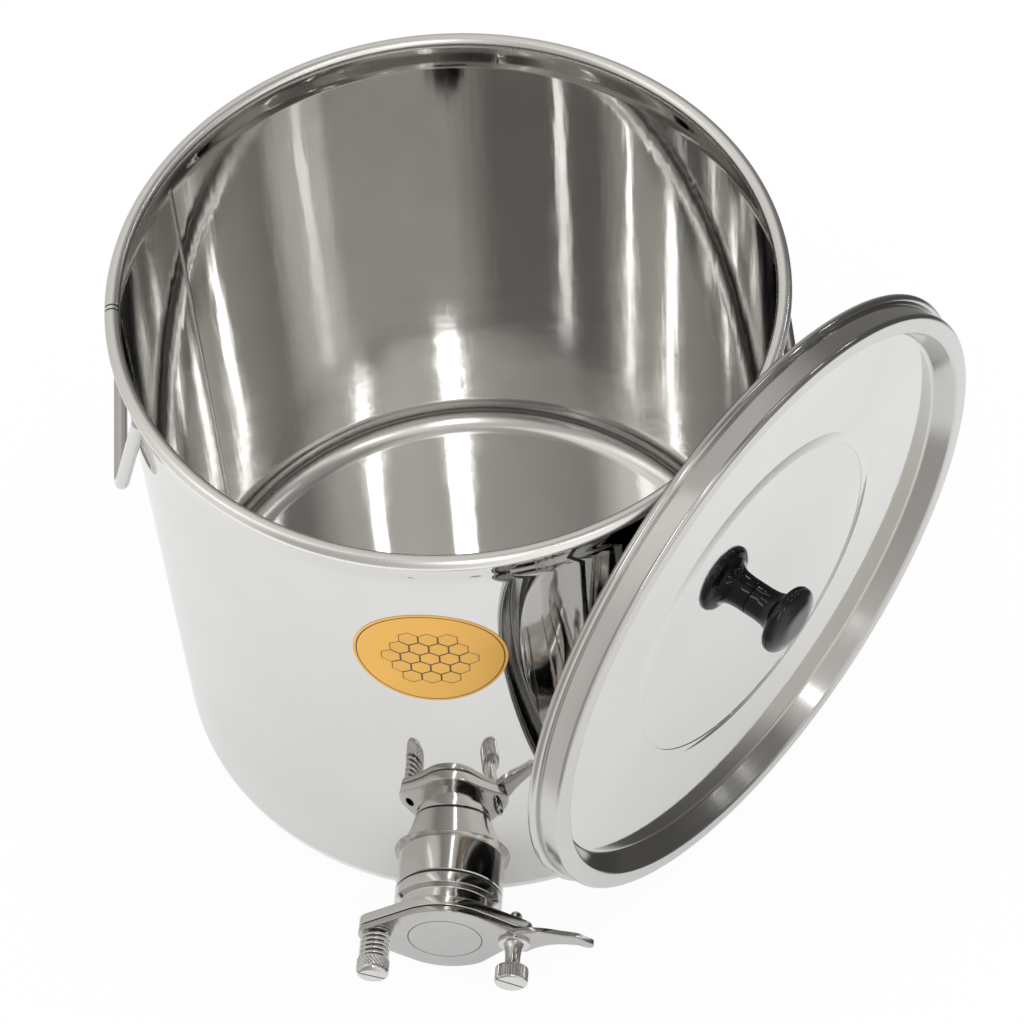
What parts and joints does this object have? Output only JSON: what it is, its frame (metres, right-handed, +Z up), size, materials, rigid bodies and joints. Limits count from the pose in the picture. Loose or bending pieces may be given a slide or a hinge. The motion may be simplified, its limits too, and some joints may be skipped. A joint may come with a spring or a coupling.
{
  "type": "honey settling tank",
  "caption": "Polished steel honey settling tank with a rolled rim, side handles, a sprung cut-off gate at the bottom and a knobbed lid leaning beside it.",
  "frame": {"origin": "centre of the tank's flat base, on the floor", "axes": "+Z up along the tank axis, the outlet gate points along -Y, +X to the right of someone facing the gate"},
  "size_m": [0.4881, 0.4466, 0.3834],
  "materials": {
    "tank_wall": "mirror-polished stainless steel",
    "tank_floor": "mirror-polished stainless steel",
    "floor_corner": "mirror-polished stainless steel",
    "rim_tube": "satin stainless steel tube",
    "wall_seam": "ground weld",
    "handle_left": "polished steel rod",
    "handle_right": "polished steel rod",
    "outlet_stub": "satin stainless steel",
    "outlet_weld": "rough weld bead",
    "stub_seal": "dark rubber",
    "gate_body": "satin stainless steel",
    "gate_seal": "pale silicone",
    "gate_plate": "polished stainless steel",
    "pivot_screw": "turned stainless steel, knurled head",
    "pivot_spring": "spring wire",
    "clamp_washer": "turned stainless steel",
    "thumb_screw": "turned stainless steel, knurled head",
    "lid_pan": "polished stainless steel",
    "knob": "glossy black",
    "knob_screw": "zinc-plated",
    "knob_washer": "zinc-plated",
    "label": "printed, satin"
  },
  "bodies": {
    "tank": {"tank_wall": "tank_wall", "tank_floor": "tank_floor", "floor_corner": "floor_corner", "rim_front": "rim_tube", "rim_right": "rim_tube", "rim_back": "rim_tube", "rim_left": "rim_tube", "wall_seam": "wall_seam", "handle_left": "handle_left", "handle_right": "handle_right", "outlet_stub": "outlet_stub", "outlet_weld": "outlet_weld", "stub_seal": "stub_seal", "gate_body": "gate_body", "gate_seal": "gate_seal", "pivot_screw": "pivot_screw", "pivot_spring": "pivot_spring", "label": "label"},
    "gate": {"gate_plate": "gate_plate"},
    "clamp": {"clamp_washer": "clamp_washer"},
    "screw": {"thumb_screw": "thumb_screw"},
    "lid": {"lid_pan": "lid_pan", "knob": "knob", "knob_screw": "knob_screw", "knob_washer": "knob_washer"}
  },
  "joints": [
    {"name": "gate_swing", "type": "hinge", "parent": "tank", "child": "gate", "pos_m": [-0.04, -0.232, 0.0488], "axis": [0, -1, 0], "range_deg": [0, 110]},
    {"name": "clamp_slide", "type": "slide", "parent": "tank", "child": "clamp", "axis": [0, -1, 0], "range_m": [0, 0.0025]},
    {"name": "screw_turn", "type": "hinge", "parent": "clamp", "child": "screw", "pos_m": [0.04, -0.245, 0.0488], "axis": [0, -1, 0], "range_deg": [0, 720]},
    {"name": "lid_away", "type": "slide", "parent": "tank", "child": "lid", "axis": [0.8059, -0.592, 0], "range_m": [0, 0.25]}
  ],
  "couplings": [
    {"joint": "screw_turn", "follows": "clamp_slide", "rad_per_m": 5026.5}
  ]
}
